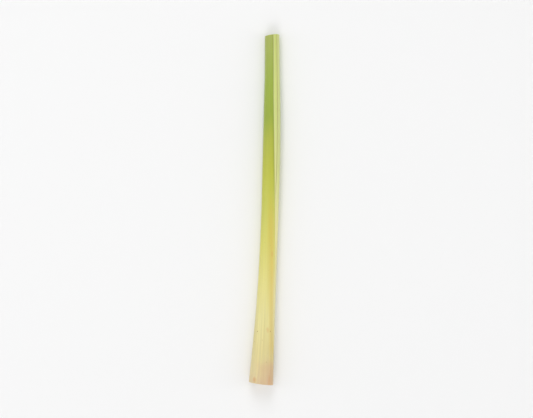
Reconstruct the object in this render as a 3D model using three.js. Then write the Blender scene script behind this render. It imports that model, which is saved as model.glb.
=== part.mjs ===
// A trimmed stalk of lemongrass, lying down along Y with its root end at -Y.
// Units are millimetres and +Z is up. The origin is the middle of the underside.
//
// The stalk is a short solid stem with leaf sheaths rolled round it. Each sheath is a strip that is bent
// round the stalk's axis, so every piece is described in the stalk's own terms: how far along it a point is,
// the angle round the axis, and the depth below the outer skin.

import * as THREE from 'three';

// ---- Driving dimensions ----

const LENGTH = 250;

// The outline seen from above, as distance from the root end and half width.
const OUTLINE = [
  [0, 8.9],
  [16, 8.2],
  [34, 7.6],
  [56, 6.9],
  [85, 6.4],
  [125, 6.25],
  [160, 6.35],
  [195, 6.0],
  [225, 5.4],
  [LENGTH, 5.2],
];

const HEIGHT_TO_WIDTH = { root: 0.88, green: 0.95 };   // the stalk is a little pressed
const FLAT_UNDERSIDE = 0.955;     // how far down the flat underside lies, as a share of the half height
const BOW = 2.5;                  // the middle bends this far towards +X
const CUT_SLOPE = { root: -0.1, green: 0.16 };         // how far each cut end runs askew, per unit of width

const GAP = 0.25;                 // clearance between neighbouring pieces
const SHEATH_WALL = { root: 0.64, green: 0.3, fade: 60 };
const OUTER_WALL = { margin: 0.28, midrib: 0.7 };      // the outer sheath thins out towards its margins

const SHEATH_STARTS = [0, 0, 4, 8.5, 13.5, 19];        // where each sheath leaves the stem
const SHEATHS = SHEATH_STARTS.length;
const HEART_START = 27;
const HEART_TURNS = 1.3;
const HEART_HOLLOW = 0.25;        // open middle of the roll, in thicknesses of its leaf

// Angles round the axis, in degrees: 0 is the +X side and 90 is the top.
const FREE_MARGIN = { root: 15, green: 82, settled: 0.8 };     // the outer sheath's margin that lies on top
const TUCKED_MARGIN = { root: 75, green: 52, settled: 0.7 };   // its other margin, tucked under where they lap
const INNER_SLIT = { root: 14, green: 46 };                    // opening of the other sheaths
const TUCK_RAMP = { start: 4, end: 34, parted: 20 };           // past the lap, the tucked side comes up to the skin
const MIDRIB_RAMP = { start: 20, end: 110 };                   // past the lap, the outer wall gets its full thickness

const AROUND = 22;                // strips round a sheath
const ALONG = 13;                 // strips along a sheath

const COLOURS = {
  stem: '#d9c29c',
  outer: '#c9cc70',
  inner: '#dfe09a',
  heart: '#e6e6ac',
};

// ---- The stalk's own shape ----

const radians = THREE.MathUtils.degToRad;
const { lerp, smoothstep } = THREE.MathUtils;

const outline = new THREE.SplineCurve(OUTLINE.map(([y, half]) => new THREE.Vector2(y, half)));

// Half width of the stalk at a distance from the root end, found by halving along the outline.
function halfWidth(y) {
  let low = 0;
  let high = 1;
  for (let step = 0; step < 30; step += 1) {
    const middle = (low + high) / 2;
    if (outline.getPoint(middle).x < y) low = middle;
    else high = middle;
  }
  return outline.getPoint(low).y;
}

// Sideways place of the stalk's axis, which is bowed.
function axisX(y) {
  const share = y / LENGTH;
  return 4 * BOW * share * (1 - share);
}

// Half height of the oval that the stalk would be without its flat underside.
function halfHeight(y) {
  return halfWidth(y) * lerp(HEIGHT_TO_WIDTH.root, HEIGHT_TO_WIDTH.green, y / LENGTH);
}

// Distance from the axis to the outer skin in one direction: an oval with a flat underside.
function skinRadius(y, angle) {
  const a = halfWidth(y);
  const b = halfHeight(y);
  const oval = (a * b) / Math.hypot(b * Math.cos(angle), a * Math.sin(angle));
  const down = -Math.sin(angle);
  const flat = down > 0 ? (b * FLAT_UNDERSIDE) / down : Infinity;
  return Math.min(oval, flat);
}

// A point of the stalk from its distance along, its angle in radians and its depth below the skin.
function stalkPoint(y, angle, depth) {
  const radius = skinRadius(y, angle) * (1 - depth / halfHeight(y));
  const across = radius * Math.cos(angle);
  const slope = lerp(CUT_SLOPE.root, CUT_SLOPE.green, y / LENGTH);
  return new THREE.Vector3(
    axisX(y) + across,
    y + slope * across,
    halfHeight(y) * FLAT_UNDERSIDE + radius * Math.sin(angle),
  );
}

// Wall of every sheath but the outermost.
function sheathWall(y) {
  const { root, green, fade } = SHEATH_WALL;
  return green + (root - green) * Math.exp(-y / fade);
}

// Room that the outer sheath takes up: two margins that lap, with the clearance between them.
const OUTER_ROOM = 2 * OUTER_WALL.margin + GAP;

// Depth of the outer face of sheath 1, 2, 3 and so on. One past the last gives the heart's.
function sheathDepth(number, y) {
  if (number === 1) return 0;
  return OUTER_ROOM + GAP + (number - 2) * (sheathWall(y) + GAP);
}

// ---- Bending flat blocks round the axis ----

// A block of unit size whose points are sent to where place(u, v, w) says: u across, v along, w outwards.
function bentBlock(across, along, place) {
  const block = new THREE.BoxGeometry(1, 1, 1, across, along, 1);
  const position = block.attributes.position;
  for (let i = 0; i < position.count; i += 1) {
    const point = place(position.getX(i) + 0.5, position.getY(i) + 0.5, position.getZ(i) + 0.5);
    position.setXYZ(i, point.x, point.y, point.z);
  }
  block.computeVertexNormals();
  return block;
}

// Rows stand closer together near the root end, where the stalk flares.
function rowPlace(start, v) {
  return lerp(start, LENGTH, Math.pow(v, 1.5));
}

// ---- The pieces ----

// Angle of a margin, which swings from its root value and settles at its green one.
function marginAngle(y, { root, green, settled }) {
  return lerp(root, green, smoothstep(y / LENGTH, 0, settled));
}

// The outermost sheath: its free margin lies on the tucked one, until the two part towards the green end.
function outerSheath() {
  return bentBlock(AROUND + 4, ALONG, (u, v, w) => {
    const y = rowPlace(0, v);
    const free = marginAngle(y, FREE_MARGIN);
    const tucked = marginAngle(y, TUCKED_MARGIN);
    // From the tucked margin, round the underside, to the free margin on top.
    const angle = lerp(tucked, free - 360, u);
    const lap = tucked - free;
    const fromTucked = tucked - angle;
    const fromMargin = Math.min(fromTucked, angle - (free - 360));
    const comingUp = smoothstep(fromTucked, lap + TUCK_RAMP.start, lap + TUCK_RAMP.end);
    const tuck = (1 - comingUp) * smoothstep(lap, -TUCK_RAMP.parted, 0);
    const thick = smoothstep(fromMargin, lap + MIDRIB_RAMP.start, lap + MIDRIB_RAMP.end);
    const wall = lerp(OUTER_WALL.margin, OUTER_WALL.midrib, thick);
    const depth = tuck * (OUTER_WALL.margin + GAP) + (1 - w) * wall;
    return stalkPoint(y, radians(angle), depth);
  });
}

// Every other sheath: midribs face up and down in turn, and the slit lies opposite the midrib.
function innerSheath(number) {
  const slitMiddle = number % 2 === 0 ? -90 : 90;
  return bentBlock(AROUND, ALONG, (u, v, w) => {
    const y = rowPlace(SHEATH_STARTS[number - 1], v);
    const slit = lerp(INNER_SLIT.root, INNER_SLIT.green, y / LENGTH);
    const angle = slitMiddle - slit / 2 - u * (360 - slit);
    const depth = sheathDepth(number, y) + (1 - w) * sheathWall(y);
    return stalkPoint(y, radians(angle), depth);
  });
}

// The young leaves in the middle: one tight roll that winds inwards.
function heartLeaf() {
  return bentBlock(AROUND, ALONG, (u, v, w) => {
    const y = rowPlace(HEART_START, v);
    const skin = sheathDepth(SHEATHS + 1, y);
    const room = halfHeight(y) - skin;
    const wall = (room - GAP * HEART_TURNS) / (HEART_TURNS + 1 + HEART_HOLLOW);
    const turned = u * HEART_TURNS;
    const depth = skin + turned * (wall + GAP) + (1 - w) * wall;
    return stalkPoint(y, radians(-turned * 360), depth);
  });
}

// The stem: it narrows in a step at each node, where a sheath grows out and leaves it thinner above.
// It is turned with the number of sheaths outside it as its radius, which then becomes a depth.
function baseStem() {
  const steps = [[0, 2]];
  for (let number = 3; number <= SHEATHS; number += 1) {
    steps.push([SHEATH_STARTS[number - 1] - GAP, number - 1]);
    steps.push([SHEATH_STARTS[number - 1], number]);
  }
  steps.push([HEART_START - GAP, SHEATHS]);

  const profile = [new THREE.Vector2(0, 0)];
  for (const [y, sheathsOutside] of steps) profile.push(new THREE.Vector2(sheathsOutside, y));
  profile.push(new THREE.Vector2(0, HEART_START - GAP));

  const stem = new THREE.LatheGeometry(profile, AROUND);
  const position = stem.attributes.position;
  for (let i = 0; i < position.count; i += 1) {
    const outside = Math.round(Math.hypot(position.getX(i), position.getZ(i)));
    const y = position.getY(i);
    const angle = Math.atan2(position.getZ(i), position.getX(i));
    const depth = outside === 0 ? halfHeight(y) : sheathDepth(outside + 1, y);
    const point = stalkPoint(y, angle, depth);
    position.setXYZ(i, point.x, point.y, point.z);
  }
  stem.computeVertexNormals();
  return stem;
}

// ---- The assembly ----

function material(color, roughness) {
  return new THREE.MeshStandardMaterial({ color, roughness, metalness: 0 });
}

function piece(name, geometry, finish) {
  const mesh = new THREE.Mesh(geometry, finish);
  mesh.name = name;
  return mesh;
}

const stalk = new THREE.Group();
stalk.add(piece('base_stem', baseStem(), material(COLOURS.stem, 0.7)));
stalk.add(piece('leaf_sheath_1', outerSheath(), material(COLOURS.outer, 0.4)));
for (let number = 2; number <= SHEATHS; number += 1) {
  stalk.add(piece(`leaf_sheath_${number}`, innerSheath(number), material(COLOURS.inner, 0.45)));
}
stalk.add(piece('heart_leaf', heartLeaf(), material(COLOURS.heart, 0.5)));

// The origin goes to the middle of the underside.
const box = new THREE.Box3().setFromObject(stalk);
const middle = box.getCenter(new THREE.Vector3());
stalk.position.set(-middle.x, -middle.y, -box.min.z);

const part = new THREE.Group();
part.add(stalk);

export default part;
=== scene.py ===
"""Looks of one trimmed stalk of lemongrass, lying down along Y with its root end at -Y.

A short stem has leaf sheaths rolled round it. Every piece is bent to the stalk's own form: how far along
the stalk a point is, its angle round the stalk's axis and its depth below the skin. Lengths are in metres.
Angles are in degrees, and 0 is the stalk's +X side and 90 its top.
"""

import logging
import math
from collections.abc import Iterator, Sequence
from dataclasses import dataclass, fields
from enum import Enum

import bpy
from mathutils import Color, Matrix, Vector


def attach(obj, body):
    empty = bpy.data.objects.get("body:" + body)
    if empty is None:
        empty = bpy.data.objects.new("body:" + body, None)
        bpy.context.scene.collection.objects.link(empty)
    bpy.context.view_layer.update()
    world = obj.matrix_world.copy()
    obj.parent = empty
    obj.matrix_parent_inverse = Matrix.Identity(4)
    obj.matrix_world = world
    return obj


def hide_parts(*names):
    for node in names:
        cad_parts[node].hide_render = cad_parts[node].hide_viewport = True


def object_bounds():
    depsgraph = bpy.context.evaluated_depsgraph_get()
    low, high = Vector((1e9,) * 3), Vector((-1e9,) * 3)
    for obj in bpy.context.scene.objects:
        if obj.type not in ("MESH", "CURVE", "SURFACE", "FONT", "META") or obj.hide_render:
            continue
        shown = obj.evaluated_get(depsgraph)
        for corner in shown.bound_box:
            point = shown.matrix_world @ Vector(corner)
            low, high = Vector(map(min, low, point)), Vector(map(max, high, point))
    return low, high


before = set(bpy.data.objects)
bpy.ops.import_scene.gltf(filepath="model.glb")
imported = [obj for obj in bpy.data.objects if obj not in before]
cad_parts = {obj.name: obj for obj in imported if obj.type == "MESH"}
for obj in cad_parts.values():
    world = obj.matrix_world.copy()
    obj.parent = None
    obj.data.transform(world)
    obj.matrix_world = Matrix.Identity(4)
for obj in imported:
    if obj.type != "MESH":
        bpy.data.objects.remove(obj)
CAD_BOX = [list(map(float, corner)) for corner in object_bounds()]

BODY = "root"
MILLIMETRE = 0.001
FULL_TURN = 360.0

log = logging.getLogger("lemongrass")


# ---- Arithmetic inside node trees ----


class Value:
    """A number, vector, colour or mesh that a node tree works out. Plain arithmetic can use the numbers."""

    def __init__(self, graph: "Graph", socket: bpy.types.NodeSocket) -> None:
        """Keep the tree and the socket that gives the value."""
        self.graph = graph
        self.socket = socket

    def __add__(self, other: "Value | float") -> "Value":
        """Return the sum."""
        return self.graph.maths("ADD", self, other)

    def __sub__(self, other: "Value | float") -> "Value":
        """Return the difference."""
        return self.graph.maths("SUBTRACT", self, other)

    def __rsub__(self, other: float) -> "Value":
        """Return a plain number less this value."""
        return self.graph.maths("SUBTRACT", other, self)

    def __mul__(self, other: "Value | float") -> "Value":
        """Return the product."""
        return self.graph.maths("MULTIPLY", self, other)

    def __truediv__(self, other: "Value | float") -> "Value":
        """Return the quotient."""
        return self.graph.maths("DIVIDE", self, other)

    __radd__ = __add__
    __rmul__ = __mul__


Number = Value | float


class Graph:
    """One node tree, with short ways to add nodes to it and to join them."""

    def __init__(self, tree: bpy.types.NodeTree) -> None:
        """Keep the tree."""
        self.tree = tree

    def node(self, kind: str, inputs: dict[int | str, object] | None = None,
             **settings: object) -> bpy.types.Node:
        """Add a node.

        Args:
            kind: Blender's name for the kind of node.
            inputs: what its input sockets get, by the socket's number or name.
            settings: properties of the node and their values.

        Returns:
            The new node.
        """
        made = self.tree.nodes.new(kind)
        for name, setting in settings.items():
            setattr(made, name, setting)
        for socket, value in (inputs or {}).items():
            self.feed(made.inputs[socket], value)
        return made

    def feed(self, socket: bpy.types.NodeSocket, value: object) -> None:
        """Give an input socket what it works on.

        Args:
            socket: the input.
            value: a Value, which is linked to it, or a constant.
        """
        if isinstance(value, Value):
            self.tree.links.new(value.socket, socket)
        else:
            socket.default_value = value

    def result(self, kind: str, inputs: dict[int | str, object] | None = None, output: int | str = 0,
               **settings: object) -> Value:
        """Add a node for the sake of one of its outputs.

        Args:
            kind: Blender's name for the kind of node.
            inputs: what its input sockets get, by the socket's number or name.
            output: the number or name of the output.
            settings: properties of the node and their values.

        Returns:
            What the output gives.
        """
        return Value(self, self.node(kind, inputs, **settings).outputs[output])

    def maths(self, operation: str, *values: Number) -> Value:
        """Work out one of Blender's maths operations on up to three numbers."""
        return self.result("ShaderNodeMath", dict(enumerate(values)), operation=operation)

    def smooth(self, value: Value, low: Number, high: Number) -> Value:
        """Ease from 0, where a value is below the low limit, to 1, where it is above the high one."""
        inputs = {0: value, 1: low, 2: high}
        return self.result("ShaderNodeMapRange", inputs, interpolation_type="SMOOTHSTEP")

    def mix(self, low: Number, high: Number, share: Number) -> Value:
        """Go from the low number, at a share of 0, to the high one, at a share of 1."""
        inputs = {0: share, 2: low, 3: high}
        return self.result("ShaderNodeMix", inputs, data_type="FLOAT", clamp_factor=False)

    def combine(self, *parts: Number) -> Value:
        """Join up to three numbers into a vector."""
        return self.result("ShaderNodeCombineXYZ", dict(enumerate(parts)))

    def noise(self, x: Number, y: Number, seed: Number, detail: float = 2.0) -> Value:
        """Look up smooth noise from 0 to 1, in coordinates that are already scaled."""
        place = self.combine(x, y, seed)
        return self.result("ShaderNodeTexNoise", {"Vector": place, "Scale": 1.0, "Detail": detail})

    def split(self, vector: Value) -> tuple[Value, Value, Value]:
        """Take a vector apart into its three numbers."""
        x, y, z = (Value(self, socket) for socket in self.node("ShaderNodeSeparateXYZ", {0: vector}).outputs)
        return x, y, z

    def radians(self, degrees: Number) -> Value:
        """Return an angle in radians."""
        return self.maths("RADIANS", degrees)

    def lower(self, first: Number, second: Number) -> Value:
        """Return the lower of two numbers."""
        return self.maths("MINIMUM", first, second)

    def higher(self, first: Number, second: Number) -> Value:
        """Return the higher of two numbers."""
        return self.maths("MAXIMUM", first, second)

    def length(self, x: Value, y: Value) -> Value:
        """Return the length of a flat vector."""
        return self.maths("SQRT", x * x + y * y)


# ---- Geometry Nodes trees ----


def named_sizes(part: object, title: str = "") -> dict[str, object]:
    """Name the numbers that a part holds, in the way that its tree names its inputs.

    Args:
        part: a dataclass with sizes.
        title: the first words of every name.

    Returns:
        The sizes by name, such as Rib Height for the field rib_height.
    """
    held = {f"{title} {field.name}": getattr(part, field.name) for field in fields(part)}
    numbers = {name: size for name, size in held.items() if isinstance(size, (int, float))}
    return {name.strip().replace("_", " ").title(): size for name, size in numbers.items()}


class GeometryTree(Graph):
    """A Geometry Nodes tree whose inputs are the named sizes of the piece that it makes."""

    def __init__(self, name: str) -> None:
        """Start an empty tree with a geometry output.

        Args:
            name: the tree's name.
        """
        super().__init__(bpy.data.node_groups.new(name, "GeometryNodeTree"))
        self.tree.interface.new_socket("Geometry", in_out="OUTPUT", socket_type="NodeSocketGeometry")
        self.entry = self.node("NodeGroupInput")
        self.sockets: dict[str, str] = {}

    def size(self, name: str, kind: str = "NodeSocketFloat") -> Value:
        """Use one of the tree's inputs, which is added when it is first asked for.

        Args:
            name: the input's name.
            kind: its type of socket.

        Returns:
            The input's value.
        """
        if name not in self.sockets:
            added = self.tree.interface.new_socket(name, in_out="INPUT", socket_type=kind)
            self.sockets[name] = added.identifier
        return Value(self, self.entry.outputs[name])

    def count(self, name: str) -> Value:
        """Return the tree's whole-number input of that name."""
        return self.size(name, "NodeSocketInt")

    def position(self) -> tuple[Value, Value, Value]:
        """Return the three parts of each point's position."""
        return self.split(self.result("GeometryNodeInputPosition"))

    def normal(self) -> tuple[Value, Value, Value]:
        """Return the three parts of each face's normal."""
        return self.split(self.result("GeometryNodeInputNormal"))

    def store(self, mesh: Value, name: str, value: Number, kind: str,
              domain: str = "POINT") -> Value:
        """Return the mesh with a value stored on it, under a name that the finishes read."""
        inputs = {"Geometry": mesh, "Name": name, "Value": value}
        return self.result("GeometryNodeStoreNamedAttribute", inputs, data_type=kind, domain=domain)

    def move(self, mesh: Value, place: Value) -> Value:
        """Return the mesh with each of its points moved to its place."""
        return self.result("GeometryNodeSetPosition", {"Geometry": mesh, "Position": place})

    def shade_smooth(self, mesh: Value, where: Value) -> Value:
        """Return the mesh with smooth faces where a number is 1, and flat ones where it is 0."""
        return self.result("GeometryNodeSetShadeSmooth", {"Geometry": mesh, "Selection": where})

    def end(self, mesh: Value) -> None:
        """Finish the tree: real geometry, with the material that the tree is given.

        Args:
            mesh: the finished mesh.
        """
        material = self.size("Material", "NodeSocketMaterial")
        real = self.result("GeometryNodeRealizeInstances", {"Geometry": mesh})
        dressed = self.result("GeometryNodeSetMaterial", {"Geometry": real, "Material": material})
        self.node("NodeGroupOutput", {"Geometry": dressed})

    def make(self, name: str, sizes: dict[str, object]) -> bpy.types.Object:
        """Run the tree and keep its result as a plain mesh.

        Args:
            name: the new object's name.
            sizes: a value for every input of the tree.

        Returns:
            The object, which has no modifier left.
        """
        made = bpy.data.objects.new(name, bpy.data.meshes.new(name))
        bpy.context.scene.collection.objects.link(made)
        modifier = made.modifiers.new("shape", "NODES")
        modifier.node_group = self.tree
        for size, identifier in self.sockets.items():
            modifier[identifier] = sizes[size]
        depsgraph = bpy.context.evaluated_depsgraph_get()
        evaluated = made.evaluated_get(depsgraph)
        mesh = bpy.data.meshes.new_from_object(evaluated, preserve_all_data_layers=True, depsgraph=depsgraph)
        made.modifiers.clear()
        made.data = mesh
        mesh.name = name
        return made


# ---- The form of the stalk ----


@dataclass(frozen=True)
class StalkForm:
    """The outline, height and bow of the whole stalk, which every piece is bent to.

    The outline gives the half width at distances from the root end, and the heights are shares of the width.
    The underside is flat from a share of the half height down, and less so in the layers below the skin. The
    slopes are how far each cut end runs askew, per unit of width.
    """

    LEAST_DOWN = 0.001

    length: float = 0.250
    outline: tuple[tuple[float, float], ...] = (
        (0.000, 0.00890),
        (0.016, 0.00820),
        (0.034, 0.00760),
        (0.056, 0.00690),
        (0.085, 0.00640),
        (0.125, 0.00625),
        (0.160, 0.00635),
        (0.195, 0.00600),
        (0.225, 0.00540),
        (0.250, 0.00520),
    )
    root_height: float = 0.88
    green_height: float = 0.95
    flat_underside: float = 0.955
    flat_edge: float = 0.2 * MILLIMETRE
    flat_fade: float = 0.89
    bow: float = 2.5 * MILLIMETRE
    root_slope: float = -0.1
    green_slope: float = 0.16

    def half_width(self, tree: GeometryTree, share: Value) -> Value:
        """Follow the outline.

        Args:
            tree: the tree that the maths goes in.
            share: place along the stalk, from 0 to 1.

        Returns:
            The stalk's half width there.
        """
        widest = max(half for _, half in self.outline)
        curve = tree.node("ShaderNodeFloatCurve", {"Value": share})
        points = curve.mapping.curves[0].points
        points[0].location = (0.0, self.outline[0][1] / widest)
        points[1].location = (1.0, self.outline[-1][1] / widest)
        for along, half in self.outline[1:-1]:
            points.new(along / self.length, half / widest)
        curve.mapping.update()
        return Value(tree, curve.outputs[0]) * widest

    def half_height(self, tree: GeometryTree, share: Value, half_width: Value) -> Value:
        """Return half the height of the oval that the stalk would be without its flat underside."""
        return half_width * tree.mix(tree.size("Root Height"), tree.size("Green Height"), share)

    def bend(self, tree: GeometryTree, along: Value, angle: Value, depth: Value) -> Value:
        """Send a point to its place on the stalk.

        Args:
            tree: the tree that the maths goes in.
            along: distance from the root end.
            angle: angle round the axis, in radians.
            depth: distance below the skin.

        Returns:
            The point's position.
        """
        share = along / tree.size("Length")
        wide = self.half_width(tree, share)
        high = self.half_height(tree, share, wide)
        cosine = tree.maths("COSINE", angle)
        sine = tree.maths("SINE", angle)
        span = tree.length(high * cosine, wide * sine)
        down = tree.higher(sine * -1.0, self.LEAST_DOWN)
        oval = wide * high / span * (1.0 - depth / high)
        flat = (high * tree.size("Flat Underside") - depth * tree.size("Flat Fade")) / down
        radius = tree.maths("SMOOTH_MIN", oval, flat, tree.size("Flat Edge") * oval / wide)
        across = radius * cosine
        slope = tree.mix(tree.size("Root Slope"), tree.size("Green Slope"), share)
        bowed = tree.size("Bow") * 4.0 * share * (1.0 - share)
        return tree.combine(
            bowed + across,
            along + slope * across,
            high * tree.size("Flat Underside") + radius * sine,
        )


# ---- Finishes ----

Colour = tuple[float, float, float, float]
Span = tuple[float, float]
Stops = tuple[tuple[float, str], ...]


class Edge(Enum):
    """The two long edges of a rolled leaf: one lies free on top, and the other is tucked under it."""

    FREE = "free"
    TUCKED = "tucked"


def colour(code: str) -> Colour:
    """Return the linear colour of a code of six hexadecimal digits."""
    shown = Color([part / 255.0 for part in bytes.fromhex(code)])
    return (*shown.from_srgb_to_scene_linear(), 1.0)


class ShaderGraph(Graph):
    """The node tree of one material."""

    def __init__(self, name: str) -> None:
        """Start a material with one surface shader.

        Args:
            name: the material's name.
        """
        self.material = bpy.data.materials.new(name)
        self.material.use_nodes = True
        super().__init__(self.material.node_tree)
        self.surface = self.tree.nodes["Principled BSDF"]

    def attribute(self, name: str) -> Value:
        """Return a vector that is stored on the mesh."""
        return self.result("ShaderNodeAttribute", output="Vector", attribute_name=name)

    def mark(self, name: str) -> Value:
        """Return a single number that is stored on the mesh."""
        return self.result("ShaderNodeAttribute", output="Fac", attribute_name=name)

    def ramp(self, place: Value, stops: Stops) -> Value:
        """Look up a colour in a run of colours.

        Args:
            place: where in the run, from 0 to 1.
            stops: places in the run and the colour code at each.

        Returns:
            The colour there.
        """
        made = self.node("ShaderNodeValToRGB", {0: place})
        elements = made.color_ramp.elements
        for element, (at, code) in zip(elements, (stops[0], stops[-1])):
            element.position = at
            element.color = colour(code)
        for at, code in stops[1:-1]:
            elements.new(at).color = colour(code)
        return Value(self, made.outputs[0])

    def blend(self, under: Value | Colour, over: Value | Colour, share: Number) -> Value:
        """Lay one colour over another, as strongly as the share says, from 0 to 1."""
        return self.result("ShaderNodeMix", {0: share, 6: under, 7: over}, output=2, data_type="RGBA")

    def brighten(self, base: Value, amount: Value) -> Value:
        """Multiply a colour by a number."""
        return self.result("ShaderNodeVectorMath", {0: base, "Scale": amount}, operation="SCALE")

    def set_surface(self, **values: object) -> None:
        """Set or link the shader's sockets, named with underscores for spaces."""
        for name, value in values.items():
            self.feed(self.surface.inputs[name.replace("_", " ")], value)

    def relief(self, height: Value, depth: float, strength: float) -> None:
        """Give the surface a fine relief, from heights of 0 to 1 and a depth in metres."""
        bump = self.result("ShaderNodeBump", {"Height": height, "Distance": depth, "Strength": strength})
        self.feed(self.surface.inputs["Normal"], bump)


class LeafPoint:
    """What a leaf's finish reads at each point: where the point is, and noise of several sizes."""

    def __init__(self, graph: ShaderGraph, ribs: float) -> None:
        """Read the leaf's attributes.

        Args:
            graph: the material's tree.
            ribs: number of ribs across the leaf.
        """
        self.graph = graph
        self.across, self.share, self.outwards = graph.split(graph.attribute("leaf"))
        from_free, from_tucked, _ = graph.split(graph.attribute("rim"))
        self.from_edge = {Edge.FREE: from_free, Edge.TUCKED: from_tucked}
        self.broad = self.noise(across=9.0, along=2.2, seed=3.0)
        self.streaks = self.noise(across=60.0, along=4.0, seed=11.0, detail=3.0)
        self.fine = self.noise(across=260.0, along=9.0, seed=23.0, detail=1.0)
        self.veins = graph.maths("COSINE", self.across * (ribs * math.tau))

    def noise(self, across: float, along: float, seed: float, detail: float = 2.0) -> Value:
        """Look up noise that is laid on the leaf, with its fineness across and along it."""
        return self.graph.noise(self.across * across, self.share * along, seed, detail)


@dataclass(frozen=True)
class Band:
    """A band of colour that follows one edge of a leaf.

    Near and far are spans of distance from the edge, in millimetres, where the band comes in and fades out.
    Start and end are the same along the stalk, as shares of its length. Broken is the span of the streaks
    that it shows in, and stray is how far its sides wander. A band with no tint is pale, as skin is that has
    had no light, and lighter still, as a painted highlight.
    """

    edge: Edge
    strength: float
    far: Span
    near: Span | None = None
    start: Span | None = None
    end: Span | None = None
    broken: Span | None = None
    stray: float = 0.0
    tint: str | None = None

    def lay(self, at: LeafPoint, skin: Value, pale: Value) -> Value:
        """Lay the band over the skin.

        Args:
            at: the point of the leaf.
            skin: the colour so far.
            pale: colour of skin that has had no light, lightened further as a painted highlight.

        Returns:
            The new colour.
        """
        graph = at.graph
        strayed = at.from_edge[self.edge] + (at.streaks - 0.5) * self.stray
        held = 1.0 - graph.smooth(strayed, *self.far)
        for place, span in ((strayed, self.near), (at.share, self.start), (at.streaks, self.broken)):
            if span:
                held = held * graph.smooth(place, *span)
        if self.end:
            held = held * (1.0 - graph.smooth(at.share, *self.end))
        return graph.blend(skin, colour(self.tint) if self.tint else pale, held * self.strength)


@dataclass(frozen=True)
class Blemish:
    """A soft mark on a leaf. Its place and size are shares of the leaf's breadth and the stalk's length."""

    FRAYING = 1.4
    SOLID = 0.2

    across: float
    along: float
    breadth: float
    length: float
    strength: float
    tint: str = "cf9150"

    def lay(self, at: LeafPoint, skin: Value, frayed: Value) -> Value:
        """Lay the mark over the skin.

        Args:
            at: the point of the leaf.
            skin: the colour so far.
            frayed: noise that breaks the mark's edge up.

        Returns:
            The new colour.
        """
        sideways = (at.across - self.across) / self.breadth
        lengthwise = (at.share - self.along) / self.length
        distance = at.graph.length(sideways, lengthwise) + (frayed - 0.5) * self.FRAYING
        held = 1.0 - at.graph.smooth(distance, self.SOLID, 1.0)
        return at.graph.blend(skin, colour(self.tint), held * self.strength)


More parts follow.
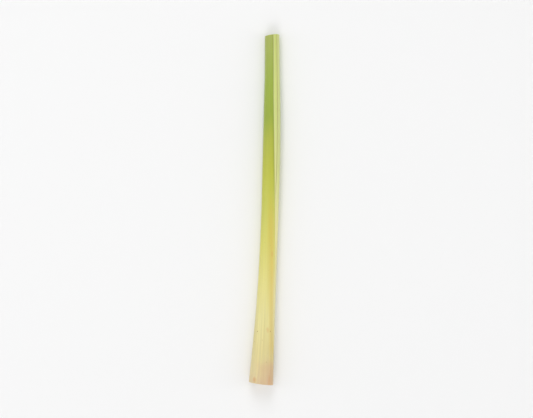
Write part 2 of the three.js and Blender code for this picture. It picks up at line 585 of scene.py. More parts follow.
@dataclass(frozen=True)
class LeafSkin:
    """Waxy leaf skin with long veins, coloured along its length, and pale moist flesh where it is cut.

    A span runs from where a change begins to where it is complete. The top of the blush is in shares of the
    stalk's length, and its side in shares of the leaf's breadth. The wall, the green rim and the veins' foot
    and head are in shares of the wall, from its inner face to its outer one.
    """

    name: str
    stops: Stops
    edges: tuple[Band, ...]
    # Real stains, and one band of painted light beside the free margin.
    stains: tuple[Band, ...] = ()
    blemishes: tuple[Blemish, ...] = ()
    blush_strength: float = 0.0
    blush: str = "d3a184"
    blush_top: Span = (0.045, 0.085)
    blush_side: Span = (0.66, 0.88)
    blush_fray: float = 0.05
    blush_all_over: float = 0.10
    blush_at_side: float = 0.36
    blush_patches: Span = (0.55, 1.45)
    fraying: float = 0.3
    # Skin that lay under the lap is paler; these colours are lighter still, as a painted highlight.
    pale: Stops = ((0.00, "e6dcb4"), (0.45, "ebe49f"), (0.62, "d4da8d"), (0.83, "d4dc8a"))
    flesh: Stops = ((0.0, "ecdbb8"), (0.4, "e8e2b2"), (1.0, "d8dfa4"))
    speck: str = "a07c44"
    speck_strength: float = 0.6
    speck_span: Span = (0.74, 0.80)
    wall_span: Span = (0.35, 0.80)
    green_rim: Span = (0.72, 0.95)
    inside_tint: float = 0.35
    flesh_shade: float = 0.12
    vein_foot: Span = (0.20, 0.45)
    vein_head: Span = (0.55, 0.80)
    vein_width: Span = (0.55, 0.90)
    vein_tint: float = 0.55
    ribs: float = 75.0
    roughness: float = 0.38
    roughness_spread: float = 0.22
    cut_roughness: float = 0.10
    broad_wander: float = 0.10
    streak_wander: float = 0.09
    streak_depth: float = 0.28
    fine_depth: float = 0.14
    broad_depth: float = 0.08
    vein_depth: float = 0.015
    relief: tuple[float, float, float] = (0.6, 0.8, 0.1)
    grain_depth: float = 0.05 * MILLIMETRE

    def build(self) -> bpy.types.Material:
        """Dress the leaf.

        Returns:
            The finished material.
        """
        graph = ShaderGraph(self.name)
        at = LeafPoint(graph, self.ribs)
        skin = self._skin(at)
        flesh = graph.ramp(at.share, self.flesh)
        inner = graph.blend(flesh, skin, self.inside_tint)
        walled = graph.blend(inner, skin, graph.smooth(at.outwards, *self.wall_span))
        uneven = (at.streaks - 0.5) * self.roughness_spread
        graph.set_surface(
            Base_Color=graph.blend(walled, self._cut_face(at, skin, flesh), graph.mark("cut")),
            Roughness=self.roughness + uneven + graph.mark("cut") * self.cut_roughness,
            Subsurface_Weight=0.12,
            Subsurface_Radius=(1.0, 0.9, 0.35),
            Subsurface_Scale=0.8 * MILLIMETRE,
            Coat_Weight=0.12,
            Coat_Roughness=0.22,
        )
        fine, streaks, veins = self.relief
        grain = at.fine * fine + at.streaks * streaks + at.veins * veins
        graph.relief(grain, self.grain_depth, strength=0.8)
        return graph.material

    def _skin(self, at: LeafPoint) -> Value:
        """Colour the outside of the leaf.

        Args:
            at: the point of the leaf.

        Returns:
            The colour of the skin.
        """
        graph = at.graph
        wander = (at.broad - 0.5) * self.broad_wander
        skin = graph.ramp(at.share + wander + (at.streaks - 0.5) * self.streak_wander, self.stops)
        # Pale skin from under the lap, with a painted highlight in it.
        pale = graph.ramp(at.share, self.pale)
        # Lay the real stains and the band of painted light.
        for stain_or_painted_light in self.stains:
            skin = stain_or_painted_light.lay(at, skin, pale)
        skin = self._blushed(at, skin)
        # Bands along the margins: real pale margins, painted shade and a partly painted highlight.
        for edge in self.edges:
            skin = edge.lay(at, skin, pale)
        shade = (
            1.0
            + (at.streaks - 0.5) * self.streak_depth
            + (at.fine - 0.5) * self.fine_depth
            + (at.broad - 0.5) * self.broad_depth
            + at.veins * self.vein_depth
        )
        specks = graph.smooth(at.noise(across=60.0, along=130.0, seed=41.0, detail=1.0), *self.speck_span)
        return graph.blend(graph.brighten(skin, shade), colour(self.speck), specks * self.speck_strength)

    def _blushed(self, at: LeafPoint, skin: Value) -> Value:
        """Give the skin a peach blush near the root end, stronger towards the free margin, and its marks.

        Args:
            at: the point of the leaf.
            skin: the colour so far.

        Returns:
            The new colour.
        """
        graph = at.graph
        patches = at.noise(across=9.0, along=22.0, seed=5.0, detail=3.0)
        low = 1.0 - graph.smooth(at.share + (patches - 0.5) * self.blush_fray, *self.blush_top)
        sideways = self.blush_all_over + graph.smooth(at.across, *self.blush_side) * self.blush_at_side
        strength = low * sideways * graph.mix(*self.blush_patches, patches) * self.blush_strength
        skin = graph.blend(skin, colour(self.blush), strength)
        frayed = graph.mix(at.noise(across=70.0, along=60.0, seed=31.0, detail=3.0), at.fine, self.fraying)
        for blemish in self.blemishes:
            skin = blemish.lay(at, skin, frayed)
        return skin

    def _cut_face(self, at: LeafPoint, skin: Value, flesh: Value) -> Value:
        """Colour a cut end: pale flesh, a thin green skin and the ends of the veins.

        Args:
            at: the point of the leaf.
            skin: colour of the skin there.
            flesh: colour of the flesh there.

        Returns:
            The colour of the cut.
        """
        graph = at.graph
        flesh = graph.brighten(flesh, 1.0 + (at.fine - 0.5) * self.flesh_shade)
        above = graph.smooth(at.outwards, *self.vein_foot)
        below = 1.0 - graph.smooth(at.outwards, *self.vein_head)
        dots = graph.smooth(at.veins, *self.vein_width) * (above * below)
        dotted = graph.blend(flesh, skin, dots * self.vein_tint)
        return graph.blend(dotted, skin, graph.smooth(at.outwards, *self.green_rim))


@dataclass(frozen=True)
class RingPattern:
    """The faint, wandering rings of the cut stem, which its relief and its colour share."""

    count: float = 11.0
    wobble: float = 3.0
    wobble_fineness: float = 2.0

    def lay(self, graph: Graph, x: Value, y: Value, out: Value) -> Value:
        """Lay the rings over the cut.

        Args:
            graph: the tree that the maths goes in.
            x: place across the cut disc, which has a radius of 1.
            y: the same, the other way.
            out: distance from the middle of the disc.

        Returns:
            A number from 0 to 1.
        """
        wobble = graph.noise(x * self.wobble_fineness, y * self.wobble_fineness, seed=4.0)
        return graph.noise(out * self.count + wobble * self.wobble, 1.0, seed=2.0)


@dataclass(frozen=True)
class StemFlesh:
    """Moist cut stem: cream flesh in faint rings, a browner rim and the ends of its fibres."""

    name: str = "stem flesh"
    rings: RingPattern = RingPattern()
    flesh: str = "eedfbd"
    ring: str = "dfc79a"
    ring_strength: float = 0.6
    ring_span: Span = (0.40, 0.66)
    blush: str = "dfae8c"
    blush_strength: float = 0.45
    blush_fineness: float = 3.0
    blush_span: Span = (0.50, 0.75)
    rim: str = "c79f6e"
    rim_strength: float = 0.6
    rim_span: Span = (0.88, 1.0)
    rim_fray: float = 0.1
    fibre: str = "b98f60"
    fibre_strength: float = 0.5
    roughness: float = 0.42
    roughness_spread: float = 0.30
    grain_fineness: float = 22.0
    grain_shade: float = 0.2
    grain_depth: float = 0.08 * MILLIMETRE

    def build(self) -> bpy.types.Material:
        """Dress the stem.

        Returns:
            The finished material.
        """
        graph = ShaderGraph(self.name)
        x, y, out = graph.split(graph.attribute("disc"))
        rings = self.rings.lay(graph, x, y, out)
        grain = graph.noise(x * self.grain_fineness, y * self.grain_fineness, seed=7.0, detail=3.0)
        patches = graph.noise(x * self.blush_fineness, y * self.blush_fineness, seed=15.0)
        browned = graph.smooth(out + (rings - 0.5) * self.rim_fray, *self.rim_span) * self.rim_strength
        ringed = graph.smooth(rings, *self.ring_span) * self.ring_strength
        blushed = graph.smooth(patches, *self.blush_span) * self.blush_strength
        flesh = graph.blend(colour(self.flesh), colour(self.ring), ringed)
        flesh = graph.blend(flesh, colour(self.blush), blushed)
        flesh = graph.blend(flesh, colour(self.rim), browned)
        flesh = graph.brighten(flesh, 1.0 + (grain - 0.5) * self.grain_shade)
        graph.set_surface(
            Base_Color=graph.blend(flesh, colour(self.fibre), graph.mark("fibre") * self.fibre_strength),
            Roughness=self.roughness + (grain - 0.5) * self.roughness_spread,
            Subsurface_Weight=0.15,
            Subsurface_Radius=(1.0, 0.8, 0.5),
            Subsurface_Scale=1.0 * MILLIMETRE,
        )
        graph.relief(grain, self.grain_depth, strength=0.7)
        return graph.material


@dataclass(frozen=True)
class FloorPaper:
    """Plain matt white paper for the floor."""

    name: str = "floor paper"
    paper: str = "f5f5f5"
    shaded: str = "f3f3f3"

    def build(self) -> bpy.types.Material:
        """Dress the floor.

        Returns:
            The finished material.
        """
        graph = ShaderGraph(self.name)
        mottled = graph.noise(*graph.split(graph.result("ShaderNodeTexCoord", output="Object")))
        graph.set_surface(
            Base_Color=graph.blend(colour(self.paper), colour(self.shaded), mottled),
            Roughness=0.9,
        )
        return graph.material


CREAM_MARGIN = Band(Edge.FREE, tint="f3edb6", strength=0.8, far=(0.10, 0.42))

OUTER_SKIN = LeafSkin(
    name="outer leaf skin",
    stops=(
        (0.00, "dac79a"),
        (0.04, "ddd298"),
        (0.10, "ddcf90"),
        (0.20, "e1d895"),
        (0.30, "e0d781"),
        (0.40, "d6d168"),
        (0.50, "c5c651"),
        (0.60, "babd3a"),
        (0.69, "aeb53a"),
        (0.76, "97aa33"),
        (0.86, "9bb03f"),
        (1.00, "a7b158"),
    ),
    stains=(
        Band(Edge.FREE, tint="cda35c", strength=0.34, far=(3.0, 9.0), end=(0.02, 0.13), stray=3.0),
        Band(
            Edge.FREE, tint="dab94a", strength=0.58, near=(0.2, 2.6), far=(3.6, 8.0),
            start=(0.04, 0.12), end=(0.42, 0.58), broken=(0.10, 0.60), stray=2.0,
        ),
        # Painted light: a pale straw lift beside the free margin, low down, where the stalk's side turns
        # away from the lamps.
        Band(Edge.FREE, tint="f2e6a8", strength=0.55, far=(1.0, 4.0), start=(0.09, 0.15), end=(0.24, 0.36)),
    ),
    edges=(
        # Painted shade: a darker olive line in the body beside the free margin's edge.
        Band(Edge.FREE, tint="8d9c34", strength=0.5, far=(0.5, 2.0), start=(0.45, 0.65)),
        # Partly real and partly painted highlight: the tucked side is paler from lying under the lap, and
        # lightened further as a highlight.
        Band(Edge.TUCKED, strength=0.9, far=(5.0, 9.0), stray=3.0),
        # Partly a dried, browned tucked margin and partly painted shade in the groove along its edge.
        Band(Edge.TUCKED, tint="b5a765", strength=0.75, far=(0.25, 0.75), start=(0.45, 0.65), stray=0.5),
        CREAM_MARGIN,
    ),
    blush_strength=1.0,
    blemishes=(
        Blemish(across=0.72, along=0.010, breadth=0.030, length=0.012, strength=0.50),
        Blemish(across=0.91, along=0.010, breadth=0.012, length=0.030, strength=0.45),
        Blemish(across=0.87, along=0.155, breadth=0.030, length=0.012, strength=0.30),
        Blemish(across=0.93, along=0.372, breadth=0.030, length=0.014, strength=0.25),
        Blemish(across=0.33, along=0.060, breadth=0.040, length=0.020, strength=0.30),
        Blemish(across=0.12, along=0.015, breadth=0.030, length=0.014, strength=0.45),
        Blemish(across=0.71, along=0.148, breadth=0.011, length=0.003, strength=0.90, tint="96703c"),
        Blemish(across=0.91, along=0.152, breadth=0.008, length=0.003, strength=0.90, tint="a8783c"),
        Blemish(across=0.66, along=0.118, breadth=0.005, length=0.002, strength=0.90, tint="96703c"),
    ),
)

INNER_SKIN = LeafSkin(
    name="inner leaf skin",
    stops=(
        (0.00, "e6d9b0"),
        (0.20, "e9e4b4"),
        (0.45, "e4e2a0"),
        (0.75, "d4dd88"),
        (1.00, "cdd87c"),
    ),
    edges=(Band(Edge.TUCKED, strength=0.3, far=(5.0, 9.0), stray=3.0), CREAM_MARGIN),
)

HEART_SKIN = LeafSkin(
    name="heart leaf skin",
    stops=(
        (0.00, "efe8c2"),
        (0.50, "eceab8"),
        (1.00, "d9dd98"),
    ),
    edges=(Band(Edge.TUCKED, strength=0.2, far=(5.0, 9.0), stray=3.0), CREAM_MARGIN),
    ribs=40.0,
)


# ---- Leaf sheaths ----


class MidribSide(Enum):
    """The side of the stalk that a sheath's midrib lies on. Leaves of a grass take turns."""

    UNDERSIDE = -90.0
    TOP = 90.0


@dataclass(frozen=True)
class Margin:
    """The angle of a sheath's long edge, which swings from its root value and settles at its green one."""

    root: float
    green: float
    settled: float

    @staticmethod
    def angle(tree: GeometryTree, name: str, share: Value) -> Value:
        """Return the margin's angle in degrees at a share of the stalk's length."""
        swung = tree.smooth(share, 0.0, tree.size(f"{name} Settled"))
        return tree.mix(tree.size(f"{name} Root"), tree.size(f"{name} Green"), swung)


@dataclass(frozen=True)
class Layering:
    """How the sheaths lie under one another, which is the same for the whole stalk.

    Room is the depth that a sheath takes up. It falls from the root end's to the green end's over the length
    of the fade, and the slack of it stays empty.
    """

    starts: tuple[float, ...] = (0.0, 0.0, 0.004, 0.0085, 0.0135, 0.019)
    heart_start: float = 0.027
    outer_room: float = 1.06 * MILLIMETRE
    root_room: float = 0.89 * MILLIMETRE
    green_room: float = 0.55 * MILLIMETRE
    slack: float = 0.08 * MILLIMETRE
    fade: float = 0.060

    def depth(self, number: int, room: float) -> float:
        """Return how deep a sheath's outer face lies.

        Args:
            number: 1 for the outermost sheath, and one past the last for the heart.
            room: the room of each inner sheath there.

        Returns:
            The depth below the skin.
        """
        return 0.0 if number == 1 else self.outer_room + (number - 2) * room


@dataclass(frozen=True)
class Roll:
    """The margins of a rolled sheath, and the room that its wall fills.

    The wall is thin at a margin, and thickens over an angle in degrees. The gap is between margins that lap.
    """

    free: Margin
    tucked: Margin
    root_room: float
    green_room: float
    margin_wall: float = 0.13 * MILLIMETRE
    lap_gap: float = 0.04 * MILLIMETRE
    thickening: float = 40.0

    def sizes(self, title: str) -> dict[str, object]:
        """Name the roll's sizes.

        Args:
            title: the first word of their names.

        Returns:
            The sizes by name.
        """
        return {
            **named_sizes(self, title),
            **named_sizes(self.free, f"{title} Free Margin"),
            **named_sizes(self.tucked, f"{title} Tucked Margin"),
        }


class RollFaces:
    """The two faces of a roll inside a tree, as depths below the roll's own outside.

    The constants are angles: how far from a margin the wall thickens into the midrib, how far past the lap
    the tucked side comes up to the outside, how far apart parted margins are, and how soon past the lap a
    seated sheath fills its room.
    """

    MIDRIB = (math.radians(60.0), math.radians(160.0))
    TUCK_RAMP = (math.radians(3.0), math.radians(30.0))
    PARTED = math.radians(20.0)
    SEAT_RAMP = math.radians(3.0)

    def __init__(self, tree: GeometryTree, title: str, share: Value, fade: Value) -> None:
        """Read the roll's sizes.

        Args:
            tree: the tree that the maths goes in.
            title: the first word of the sizes' names.
            share: place along the stalk, from 0 to 1.
            fade: 1 at the root end, falling towards the green end.
        """
        self.tree = tree
        self.free = tree.radians(Margin.angle(tree, f"{title} Free Margin", share))
        self.tucked = tree.radians(Margin.angle(tree, f"{title} Tucked Margin", share))
        self.lap = self.tucked - self.free
        self.lapping = tree.smooth(self.lap, -self.PARTED, 0.0)
        self.room = tree.mix(tree.size(f"{title} Green Room"), tree.size(f"{title} Root Room"), fade)
        self.thin = tree.size(f"{title} Margin Wall")
        self.gap = tree.size(f"{title} Lap Gap")
        self.thickening = tree.radians(tree.size(f"{title} Thickening"))

    def wall(self, distance: Value) -> Value:
        """Work out the wall, so that two walls that lap never fill more than the room.

        Args:
            distance: angle from the nearest margin.

        Returns:
            The wall there.
        """
        full = self.room - self.thin * 2.0 - self.gap
        body = full * self.tree.smooth(distance, 0.0, self.thickening)
        return self.thin + body + (self.thin + self.gap) * self.tree.smooth(distance, *self.MIDRIB)

    def outside(self, from_tucked: Value) -> Value:
        """Work out the outer face, which is tucked under where the margins lap.

        Args:
            from_tucked: angle from the tucked margin.

        Returns:
            The depth below the roll's outside.
        """
        above = self.wall(self.tree.higher(self.lap - from_tucked, 0.0)) + self.gap
        first, last = (self.lap + limit for limit in self.TUCK_RAMP)
        return above * (1.0 - self.tree.smooth(from_tucked, first, last)) * self.lapping

    def inside(self, from_tucked: Value, from_free: Value, seated: Value) -> Value:
        """Return the depth of the inner face.

        Args:
            from_tucked: angle from the tucked margin.
            from_free: angle from the free margin.
            seated: 1 where the sheath grows from the stem and fills its room, 0 away from there.

        Returns:
            The depth below the roll's outside.
        """
        loose = self.outside(from_tucked) + self.wall(self.tree.lower(from_tucked, from_free))
        lapped = (1.0 - self.tree.smooth(from_free, self.lap, self.lap + self.SEAT_RAMP)) * self.lapping
        filled = self.tree.mix(self.room, self.wall(from_free), lapped)
        return self.tree.mix(loose, filled, seated)


@dataclass(frozen=True)
class LeafSheath:
    """One rolled leaf sheath, from the stem out to the green cut end.

    The cover is the outermost roll, which the sheath is pressed against where the crowding is above 0. Its
    free margin wanders by the ruffle, in degrees, and stands off by the lift at the green end, where its cut
    stands out by the cut step. On its seat the sheath fills its room, as it grows from the stem there.
    """

    number: int
    node: str
    skin: LeafSkin
    slot: str
    layering: Layering
    roll: Roll
    cover: Roll
    strips_across: int = 140
    strips_along: int = 60
    crowding: float = 0.0
    lift: float = 0.0
    ruffle: float = 1.2
    rib_height: float = 0.020 * MILLIMETRE
    wave_height: float = 0.07 * MILLIMETRE
    cut_wander: float = 0.4 * MILLIMETRE
    cut_step: float = 0.0
    edge_round: float = 0.05 * MILLIMETRE
    seat: float = 10.0 * MILLIMETRE

    @property
    def start(self) -> float:
        """Return where the sheath leaves the stem."""
        starts = self.layering.starts
        return starts[self.number - 1] if self.number <= len(starts) else self.layering.heart_start

    def sizes(self) -> dict[str, object]:
        """Name the sheath's sizes, which are inputs of its tree.

        Returns:
            The sizes by name.
        """
        layering = self.layering
        return {
            **named_sizes(layering),
            **named_sizes(self),
            **self.roll.sizes("Own"),
            **self.cover.sizes("Cover"),
            "Start": self.start,
            "Root Depth": layering.depth(self.number, layering.root_room),
            "Green Depth": layering.depth(self.number, layering.green_room),
            "Ribs": self.skin.ribs,
            "Seed": float(self.number * 7),
        }


@dataclass(frozen=True)
class LeafPlace:
    """Where a point of a sheath lies, in the sheath's own terms."""

    across: Value
    lengthwise: Value
    outwards: Value
    along: Value
    share: Value
    fade: Value


class SheathTree(GeometryTree):
    """Rolls a flat block of leaf round the stalk, with its margins, laps, ribs and cut ends.

    Its rows crowd towards both ends. Constants that end in FROM are shares of the length, and those that
    give two numbers are the fineness of noise across and along the leaf.
    """

    CROWDED_ROWS = 0.93
    END_ROWS = 0.02
    RAGGED_ACROSS = 14.0
    ROOT_WANDER = 0.5
    STEPPED_FROM = 0.9
    ROUNDED = 0.25 * MILLIMETRE
    LIFTED = math.radians(28.0)
    LIFTED_FROM = 0.8
    RUFFLES = 9.0
    SLACK_ON_SEAT = 0.3
    FURROW_CHANGES = (31.0, 4.0)
    LEAST_FURROW = 0.3
    WAVES = (7.0, 5.0)
    FACING = 0.9

    def __init__(self, form: StalkForm) -> None:
        """Build the whole tree.

        Args:
            form: the form that the sheath is bent to.
        """
        super().__init__("rolled leaf sheath")
        strips = {"Vertices X": self.count("Strips Across"), "Vertices Y": self.count("Strips Along")}
        block = self.result("GeometryNodeMeshCube", {"Size": (1.0, 1.0, 1.0), **strips, "Vertices Z": 2})
        x, y, z = self.position()
        at = self._place(x + 0.5, y + 0.5, z + 0.5)

        own = RollFaces(self, "Own", at.share, at.fade)
        free = own.free + self._ruffle(at)
        angle = self.mix(own.tucked, free - math.tau, at.across)
        from_tucked = own.tucked - angle
        from_free = angle - free + math.tau
        seated = self._seated(at.along - self.size("Start"))
        inside = own.inside(from_tucked, from_free, seated)
        outside = own.outside(from_tucked) + self._relief(at)
        wall = inside - self.size("Slack") * (1.0 - seated * (1.0 - self.SLACK_ON_SEAT))
        depth = (
            self.mix(self.size("Green Depth"), self.size("Root Depth"), at.fade)
            + self.mix(wall, outside, at.outwards)
            + self._rounding(at)
            - self._crowded(at, angle)
            - self._lift(at, from_free)
        )

        side_x, side_y, _ = self.normal()
        cut = self.maths("GREATER_THAN", self.maths("ABSOLUTE", side_y), self.FACING)
        edge = self.maths("GREATER_THAN", self.maths("ABSOLUTE", side_x), self.FACING)
        wide = form.half_width(self, at.share) / MILLIMETRE
        leaf = self.combine(at.across, at.share, at.outwards)
        rim = self.combine(from_free * wide, from_tucked * wide)
        mesh = self.shade_smooth(block, 1.0 - self.higher(cut, edge))
        mesh = self.store(mesh, "leaf", leaf, "FLOAT_VECTOR")
        mesh = self.store(mesh, "rim", rim, "FLOAT_VECTOR")
        mesh = self.store(mesh, "cut", cut, "FLOAT", "FACE")
        self.end(self.move(mesh, form.bend(self, at.along, angle, depth)))

    def _place(self, across: Value, row: Value, outwards: Value) -> LeafPlace:
        """Return the place of a point of the flat block.

        Args:
            across: 0 at the tucked margin and 1 at the free margin.
            row: 0 at the root end and 1 at the green end, in even rows.
            outwards: 0 on the inner face and 1 on the outer face.

        Returns:
            The place, with the rows crowded towards both ends and the ends cut a little out of true.
        """
        crowded = self.maths("SINE", row * math.tau) * (self.CROWDED_ROWS / math.tau)
        lengthwise = row - crowded
        even = self.mix(self.size("Start"), self.size("Length"), lengthwise)
        ragged = self.noise(across * self.RAGGED_ACROSS, 5.0, self.size("Seed"), detail=3.0) - 0.5
        green_end = self.smooth(lengthwise, 1.0 - self.END_ROWS, 1.0)
        root_end = 1.0 - self.smooth(lengthwise, 0.0, self.END_ROWS)
        wander = self.size("Cut Wander") * ragged * (green_end - root_end * self.ROOT_WANDER)
        along = even + wander + self.size("Cut Step") * self.smooth(lengthwise, self.STEPPED_FROM, 1.0)
        fade = self.maths("EXPONENT", along / self.size("Fade") * -1.0)
        return LeafPlace(across, lengthwise, outwards, along, along / self.size("Length"), fade)

    def _seated(self, above_start: Value) -> Value:
        """Return 1 where a sheath grows from the stem, falling to 0 above its seat."""
        return 1.0 - self.smooth(above_start, 0.0, self.size("Seat"))

    def _ruffle(self, at: LeafPlace) -> Value:
        """Return the gentle wander of the free margin, in radians."""
        wander = self.noise(at.share * self.RUFFLES, 1.0, self.size("Seed")) - 0.5
        return self.radians(self.size("Ruffle") * wander * 2.0)

    def _lift(self, at: LeafPlace, from_free: Value) -> Value:
        """Return how far the free margin stands off near the green end."""
        near_margin = 1.0 - self.smooth(from_free, 0.0, self.LIFTED)
        return self.size("Lift") * near_margin * self.smooth(at.lengthwise, self.LIFTED_FROM, 1.0)

    def _crowded(self, at: LeafPlace, angle: Value) -> Value:
        """Work out how far the sheath is pressed out against the thin margins of the outermost one.

        Args:
            at: the point's place on the sheath.
            angle: angle round the axis, in radians.

        Returns:
            The distance outwards.
        """
        cover = RollFaces(self, "Cover", at.share, at.fade)
        from_tucked = self.maths("WRAP", cover.tucked - angle, math.tau, 0.0)
        from_free = cover.lap + math.tau - from_tucked
        inside = cover.inside(from_tucked, from_free, self._seated(at.along))
        return self.size("Crowding") * self.higher(cover.room - inside, 0.0)

    def _rounding(self, at: LeafPlace) -> Value:
        """Work out how far both faces draw in at the very edge of a cut end.

        Args:
            at: the point's place on the sheath.

        Returns:
            The change in depth.
        """
        end = self.lower(at.along - self.size("Start"), self.size("Length") - at.along)
        inwards = self.mix(-1.0, 1.0, at.outwards)
        return self.size("Edge Round") * inwards * (1.0 - self.smooth(end, 0.0, self.ROUNDED))

    def _relief(self, at: LeafPlace) -> Value:
        """Work out the furrows between the ribs and the leaf's slow waves.

        Args:
            at: the point's place on the sheath.

        Returns:
            Their depth.
        """
        def rough(fineness: Span, seed: Value) -> Value:
            """Look up noise with its fineness across and along the leaf."""
            return self.noise(at.across * fineness[0], at.share * fineness[1], seed)

        seed = self.size("Seed")
        furrow = 0.5 - self.maths("COSINE", at.across * self.size("Ribs") * math.tau) * 0.5
        uneven = rough(self.FURROW_CHANGES, seed) + self.LEAST_FURROW
        wave = rough(self.WAVES, seed + 3.0)
        return self.size("Rib Height") * furrow * uneven + self.size("Wave Height") * wave


# ---- The stem ----


@dataclass(frozen=True)
class BaseStem:
    """The short solid stem, which narrows in a step at each node that a sheath grows from.

    Fibre density is the most for each square metre of the cut, and the finest and coarsest fibres are shares
    of the fibre size.
    """

    layering: Layering
    flesh: StemFlesh = StemFlesh()
    node: str = "base_stem"
    slot: str = "stem"
    clearance: float = 0.25 * MILLIMETRE
    step: float = 0.4 * MILLIMETRE
    strips_around: int = 96
    rows: int = 110
    rings: int = 40
    fibre_size: float = 0.11 * MILLIMETRE
    fibre_spacing: float = 0.5 * MILLIMETRE
    fibre_density: float = 5.0e6
    finest_fibre: float = 0.5
    coarsest_fibre: float = 1.2
    ring_height: float = 0.25 * MILLIMETRE

    def sizes(self) -> dict[str, object]:
        """Name the stem's sizes, which are inputs of its tree.

        Returns:
            The sizes by name.
        """
        layering = self.layering
        return {
            **named_sizes(self),
            "Stem Top": layering.heart_start - self.clearance,
            "Outside Depth": layering.depth(3, layering.root_room),
            "Node Step": layering.root_room,
        }


class StemTree(GeometryTree):
    """Makes the stem: a stepped solid with a cut face and the ends of its fibres on it."""

    SEED = 5
    ROUGH_FINENESS = 7.0
    RING_SHARE = 0.6
    CUT_ROWS = 0.004
    RIM_FROM = 0.93
    RIM_FALL = 0.5
    FACING = 0.9

    def __init__(self, form: StalkForm, stem: BaseStem) -> None:
        """Build the whole tree.

        Args:
            form: the form that the stem is bent to.
            stem: gives the places of the nodes and the length of a step.
        """
        super().__init__("stepped stem")
        unit_rod = {
            "Vertices": self.count("Strips Around"),
            "Side Segments": self.count("Rows"),
            "Fill Segments": self.count("Rings"),
            "Radius": 1.0,
            "Depth": 1.0,
        }
        rod = self.result("GeometryNodeMeshCylinder", unit_rod)
        x, y, z = self.position()
        out = self.length(x, y)
        angle = self.maths("ARCTAN2", y, x) * -1.0
        lengthwise = z + 0.5
        rough = self.noise(x * self.ROUGH_FINENESS, y * self.ROUGH_FINENESS, seed=9.0, detail=3.0)
        ring = stem.flesh.rings.lay(self, x, y, out)
        at_cut = 1.0 - self.smooth(lengthwise, 0.0, self.CUT_ROWS)
        towards_rim = 1.0 - self.smooth(out, self.RIM_FROM, 1.0) * self.RIM_FALL
        relief = ring * self.RING_SHARE + rough * (1.0 - self.RING_SHARE)
        cut_relief = self.size("Ring Height") * relief * towards_rim
        along = lengthwise * self.size("Stem Top") + cut_relief * at_cut

        share = along / self.size("Length")
        high = form.half_height(self, share, form.half_width(self, share))
        depth = high - (high - self._outside(along, stem)) * out
        mesh = self.store(rod, "disc", self.combine(x, y, out), "FLOAT_VECTOR")
        mesh = self.move(mesh, form.bend(self, along, angle, depth))
        self.end(self._with_fibres(mesh))

    def _outside(self, along: Value, stem: BaseStem) -> Value:
        """Work out the depth of the stem's outside, which grows by a step at each node.

        Args:
            along: distance from the root end.
            stem: gives the places of the nodes and the length of a step.

        Returns:
            The depth below the skin.
        """
        depth = self.size("Outside Depth")
        for start in stem.layering.starts[2:]:
            top = start - stem.clearance
            depth = depth + self.size("Node Step") * self.smooth(along, top - stem.step, top)
        return depth

    def _with_fibres(self, mesh: Value) -> Value:
        """Stand the ends of the stem's fibres a little proud of its cut face.

        Args:
            mesh: the bent stem.

        Returns:
            The stem with its fibres.
        """
        _, facing, _ = self.normal()
        spacing = {
            "Mesh": mesh,
            "Selection": self.maths("LESS_THAN", facing, -self.FACING),
            "Distance Min": self.size("Fibre Spacing"),
            "Density Max": self.size("Fibre Density"),
            "Seed": self.SEED,
        }
        points = self.result("GeometryNodeDistributePointsOnFaces", spacing, distribute_method="POISSON")
        round_end = {"Radius": self.size("Fibre Size"), "Subdivisions": 1}
        bead = self.result("GeometryNodeMeshIcoSphere", round_end)
        limits = {2: self.size("Finest Fibre"), 3: self.size("Coarsest Fibre"), "Seed": self.SEED}
        chosen = self.result("FunctionNodeRandomValue", limits, output=1, data_type="FLOAT")
        marked = self.store(bead, "fibre", 1.0, "FLOAT")
        placed = {"Points": points, "Instance": marked, "Scale": chosen}
        fibres = self.result("GeometryNodeInstanceOnPoints", placed)
        joined = self.node("GeometryNodeJoinGeometry", {0: fibres})
        self.feed(joined.inputs[0], mesh)
        return Value(self, joined.outputs[0])


# ---- The whole stalk ----


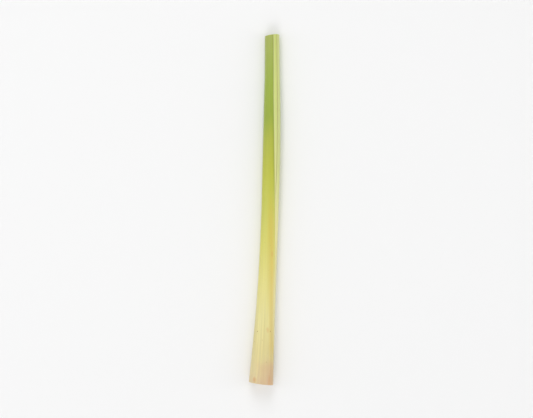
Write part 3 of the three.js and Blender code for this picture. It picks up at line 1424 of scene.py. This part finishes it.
@dataclass(frozen=True)
class Stalk:
    """The stem, the six sheaths and the heart leaf, all bent to one form."""

    form: StalkForm = StalkForm()
    layering: Layering = Layering()
    outer_roll: Roll = Roll(
        free=Margin(root=8.0, green=76.0, settled=0.86),
        tucked=Margin(root=75.0, green=50.0, settled=0.68),
        root_room=Layering.outer_room,
        green_room=Layering.outer_room,
        margin_wall=0.28 * MILLIMETRE,
        thickening=75.0,
    )
    inner_lap: float = 34.0
    inner_green_lap: float = 14.0
    inner_cut_step: float = 0.35 * MILLIMETRE
    inner_wave: float = 0.03 * MILLIMETRE
    heart_angle: float = 20.0
    heart_turns: float = 1.7
    heart_root_room: float = 1.10 * MILLIMETRE
    heart_green_room: float = 0.50 * MILLIMETRE

    def sheaths(self) -> Iterator[LeafSheath]:
        """Size the sheaths, from the outermost inwards.

        Yields:
            Each sheath in turn.
        """
        yield LeafSheath(
            number=1, node="leaf_sheath_1", skin=OUTER_SKIN, slot="outer_sheath", layering=self.layering,
            roll=self.outer_roll, cover=self.outer_roll, strips_across=300, strips_along=140,
            lift=0.25 * MILLIMETRE,
        )
        inner = len(self.layering.starts) - 1
        for number in range(2, inner + 2):
            side = MidribSide.TOP if number % 2 == 0 else MidribSide.UNDERSIDE
            # The margins lap on the side that faces away from the midrib.
            away = side.value + FULL_TURN / 2.0
            roll = Roll(
                free=Margin(away - self.inner_lap / 2.0, away - self.inner_green_lap / 2.0, settled=1.0),
                tucked=Margin(away + self.inner_lap / 2.0, away + self.inner_green_lap / 2.0, settled=1.0),
                root_room=self.layering.root_room,
                green_room=self.layering.green_room,
            )
            # The second sheath shows where the first one parts, so it is made of more strips.
            strips_across, strips_along = (220, 100) if number == 2 else (140, 60)
            yield LeafSheath(
                number=number, node=f"leaf_sheath_{number}", skin=INNER_SKIN, slot="inner_sheath",
                layering=self.layering, roll=roll, cover=self.outer_roll,
                strips_across=strips_across, strips_along=strips_along,
                crowding=1.0 - (number - 2) / inner,
                wave_height=self.inner_wave,
                cut_step=self.inner_cut_step if number % 2 else -self.inner_cut_step,
            )

    def heart(self) -> LeafSheath:
        """Size the roll of young leaves in the middle.

        Returns:
            The heart leaf.
        """
        start = self.heart_angle
        end = start + FULL_TURN * (self.heart_turns - 1.0)
        roll = Roll(
            free=Margin(start, start, settled=1.0),
            tucked=Margin(end, end, settled=1.0),
            root_room=self.heart_root_room,
            green_room=self.heart_green_room,
        )
        return LeafSheath(
            number=len(self.layering.starts) + 1, node="heart_leaf", skin=HEART_SKIN, slot="heart",
            layering=self.layering, roll=roll, cover=self.outer_roll,
            strips_across=150, strips_along=60, cut_step=0.5 * MILLIMETRE, wave_height=self.inner_wave,
        )

    def build(self) -> list[bpy.types.Object]:
        """Make every piece, in place in the row frame.

        Returns:
            The finished pieces.
        """
        stem = BaseStem(self.layering)
        sheaths = [*self.sheaths(), self.heart()]
        skins = {skin: skin.build() for skin in (OUTER_SKIN, INNER_SKIN, HEART_SKIN)}
        tree = SheathTree(self.form)
        pieces = [self._dress(StemTree(self.form, stem), stem, stem.flesh.build())]
        pieces += [self._dress(tree, sheath, skins[sheath.skin]) for sheath in sheaths]
        self._settle(pieces)
        for piece, part in zip(pieces, [stem, *sheaths]):
            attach(piece, BODY)
            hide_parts(part.node)
        return pieces

    def _dress(self, tree: GeometryTree, part: LeafSheath | BaseStem,
               material: bpy.types.Material) -> bpy.types.Object:
        """Return a piece made by its tree, with its material."""
        sizes = {**named_sizes(self.form), **part.sizes(), "Material": material}
        return tree.make(f"{part.node}_skin", sizes)

    def _settle(self, pieces: Sequence[bpy.types.Object]) -> None:
        """Move all the pieces' meshes together, so that they fill the box of the frame's stalk.

        Args:
            pieces: every piece of the stalk.
        """
        corners = [vertex.co for piece in pieces for vertex in piece.data.vertices]
        low = Vector([min(corner[axis] for corner in corners) for axis in range(3)])
        high = Vector([max(corner[axis] for corner in corners) for axis in range(3)])
        cad_low, cad_high = Vector(CAD_BOX[0]), Vector(CAD_BOX[1])
        shift = (cad_low + cad_high) / 2.0 - (low + high) / 2.0
        shift.z = cad_low.z - low.z
        for piece in pieces:
            piece.data.transform(Matrix.Translation(shift))


# ---- The studio ----


@dataclass(frozen=True)
class Lamp:
    """A soft rectangular light that faces the middle of the stalk's underside."""

    name: str
    place: tuple[float, float, float]
    size: tuple[float, float]
    watts: float

    def hang(self) -> None:
        """Add the light to the scene."""
        light = bpy.data.lights.new(self.name, "AREA")
        light.shape = "RECTANGLE"
        light.size, light.size_y = self.size
        light.energy = self.watts
        place = Vector(self.place)
        lamp = bpy.data.objects.new(self.name, light)
        lamp.location = place
        lamp.rotation_euler = (-place).to_track_quat("-Z", "Y").to_euler()
        bpy.context.scene.collection.objects.link(lamp)


@dataclass(frozen=True)
class Studio:
    """A white floor that sweeps up far away, soft lights and a camera that looks straight down.

    Two wide lights hang beyond the stalk's ends and two long narrow ones along its sides. The camera takes
    in the framed height at the middle of the stalk, and the aspect is its breadth as a share of that. The
    lean is in degrees.
    """

    lamps: tuple[Lamp, ...] = (
        Lamp("green end light", (-0.15, 1.00, 1.05), (0.9, 0.9), 6.3),
        Lamp("root end light", (-0.10, -1.05, 1.05), (0.9, 0.9), 5.7),
        Lamp("left strip light", (-0.68, 0.00, 0.62), (0.14, 1.3), 1.45),
        Lamp("right strip light", (0.80, 0.00, 0.45), (0.14, 1.3), 1.55),
    )
    glow: float = 0.52
    flat_radius: float = 1.7
    sweep_radius: float = 1.3
    sweep_rings: int = 16
    sides: int = 96
    lean: float = 1.83
    framed_height: float = 0.300
    aspect: float = 1.275
    lens: float = 100.0
    sensor: float = 36.0

    def build(self) -> None:
        """Make the floor, the lights, the world and the camera."""
        self._floor()
        for lamp in self.lamps:
            lamp.hang()
        self._world()
        self._camera()

    def _floor(self) -> None:
        """Lay the floor, which is flat round the stalk and sweeps up at its far edge on every side."""
        shares = [ring / self.sweep_rings for ring in range(1, self.sweep_rings + 1)]
        rings = [(self.flat_radius * share, 0.0) for share in shares]
        for share in shares:
            turn = math.pi / 2.0 * share
            rise = self.sweep_radius * (1.0 - math.cos(turn))
            rings.append((self.flat_radius + self.sweep_radius * math.sin(turn), rise))
        points = [(0.0, 0.0, 0.0)]
        for radius, height in rings:
            for step in range(self.sides):
                turn = math.tau * step / self.sides
                points.append((radius * math.cos(turn), radius * math.sin(turn), height))
        faces = [(0, 1 + step, 1 + (step + 1) % self.sides) for step in range(self.sides)]
        for ring in range(len(rings) - 1):
            inner, outer = 1 + ring * self.sides, 1 + (ring + 1) * self.sides
            for step in range(self.sides):
                after = (step + 1) % self.sides
                faces.append((inner + step, outer + step, outer + after, inner + after))
        mesh = bpy.data.meshes.new("floor")
        mesh.from_pydata(points, [], faces)
        mesh.shade_smooth()
        mesh.materials.append(FloorPaper().build())
        floor = bpy.data.objects.new("floor", mesh)
        bpy.context.scene.collection.objects.link(floor)

    def _world(self) -> None:
        """Give the surroundings a plain pale glow."""
        world = bpy.data.worlds.new("studio")
        world.use_nodes = True
        glow = world.node_tree.nodes["Background"]
        glow.inputs["Color"].default_value = (1.0, 1.0, 1.0, 1.0)
        glow.inputs["Strength"].default_value = self.glow
        bpy.context.scene.world = world
        bpy.context.scene.view_settings.view_transform = "Standard"

    def _camera(self) -> None:
        """Put the camera over the stalk, turned so that the stalk leans a little to the right."""
        data = bpy.data.cameras.new("camera")
        data.lens = self.lens
        data.sensor_width = self.sensor
        distance = self.framed_height * self.aspect * self.lens / self.sensor
        camera = bpy.data.objects.new("camera", data)
        middle = (Vector(CAD_BOX[0]) + Vector(CAD_BOX[1])) / 2.0
        camera.location = middle + Vector((0.0, 0.0, distance))
        camera.rotation_euler = (0.0, 0.0, math.radians(self.lean))
        bpy.context.scene.collection.objects.link(camera)
        bpy.context.scene.camera = camera


def main() -> None:
    """Build the stalk and the studio, and report each piece."""
    logging.basicConfig(level=logging.INFO, format="%(name)s: %(message)s")
    for piece in Stalk().build():
        log.info("%s: %d faces", piece.name, len(piece.data.polygons))
    Studio().build()


if __name__ == "__main__":
    main()
